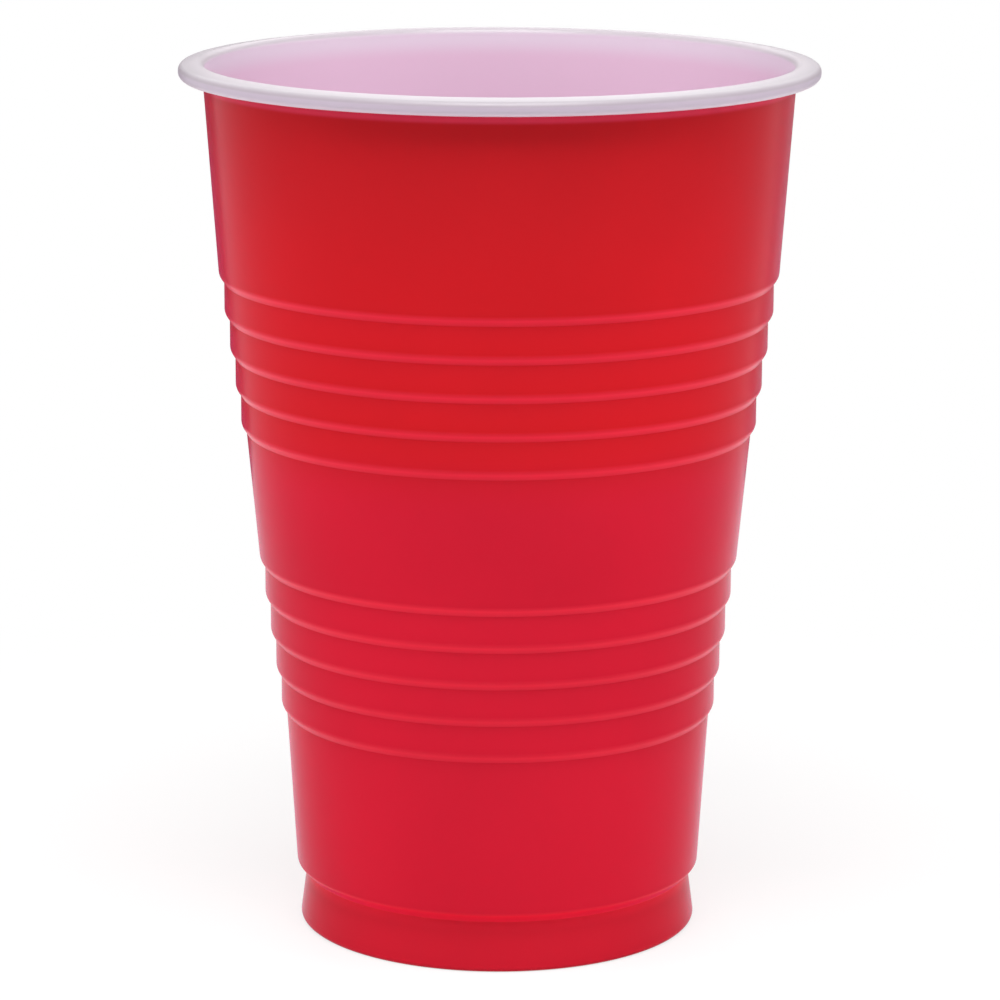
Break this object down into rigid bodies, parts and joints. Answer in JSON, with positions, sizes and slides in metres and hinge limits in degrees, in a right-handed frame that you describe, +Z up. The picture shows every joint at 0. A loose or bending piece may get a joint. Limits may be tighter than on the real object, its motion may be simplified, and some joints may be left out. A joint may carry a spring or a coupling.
{
  "type": "plastic party cup",
  "caption": "Tapered stepped plastic party cup, red outside and white inside, with a rolled white rim, two groups of grip steps in the wall and a recessed base on a ring foot.",
  "frame": {"origin": "centre of the foot's ring on the table, on the cup's axis", "axes": "+Z up along the cup's axis, towards the open mouth; the cup is round, so X and Y are any level directions"},
  "size_m": [0.0904, 0.0904, 0.125],
  "materials": {
    "cup_sheet": "glossy red polystyrene sheet with a white inner face"
  },
  "bodies": {
    "root": {"cup": "cup_sheet"}
  },
  "joints": []
}
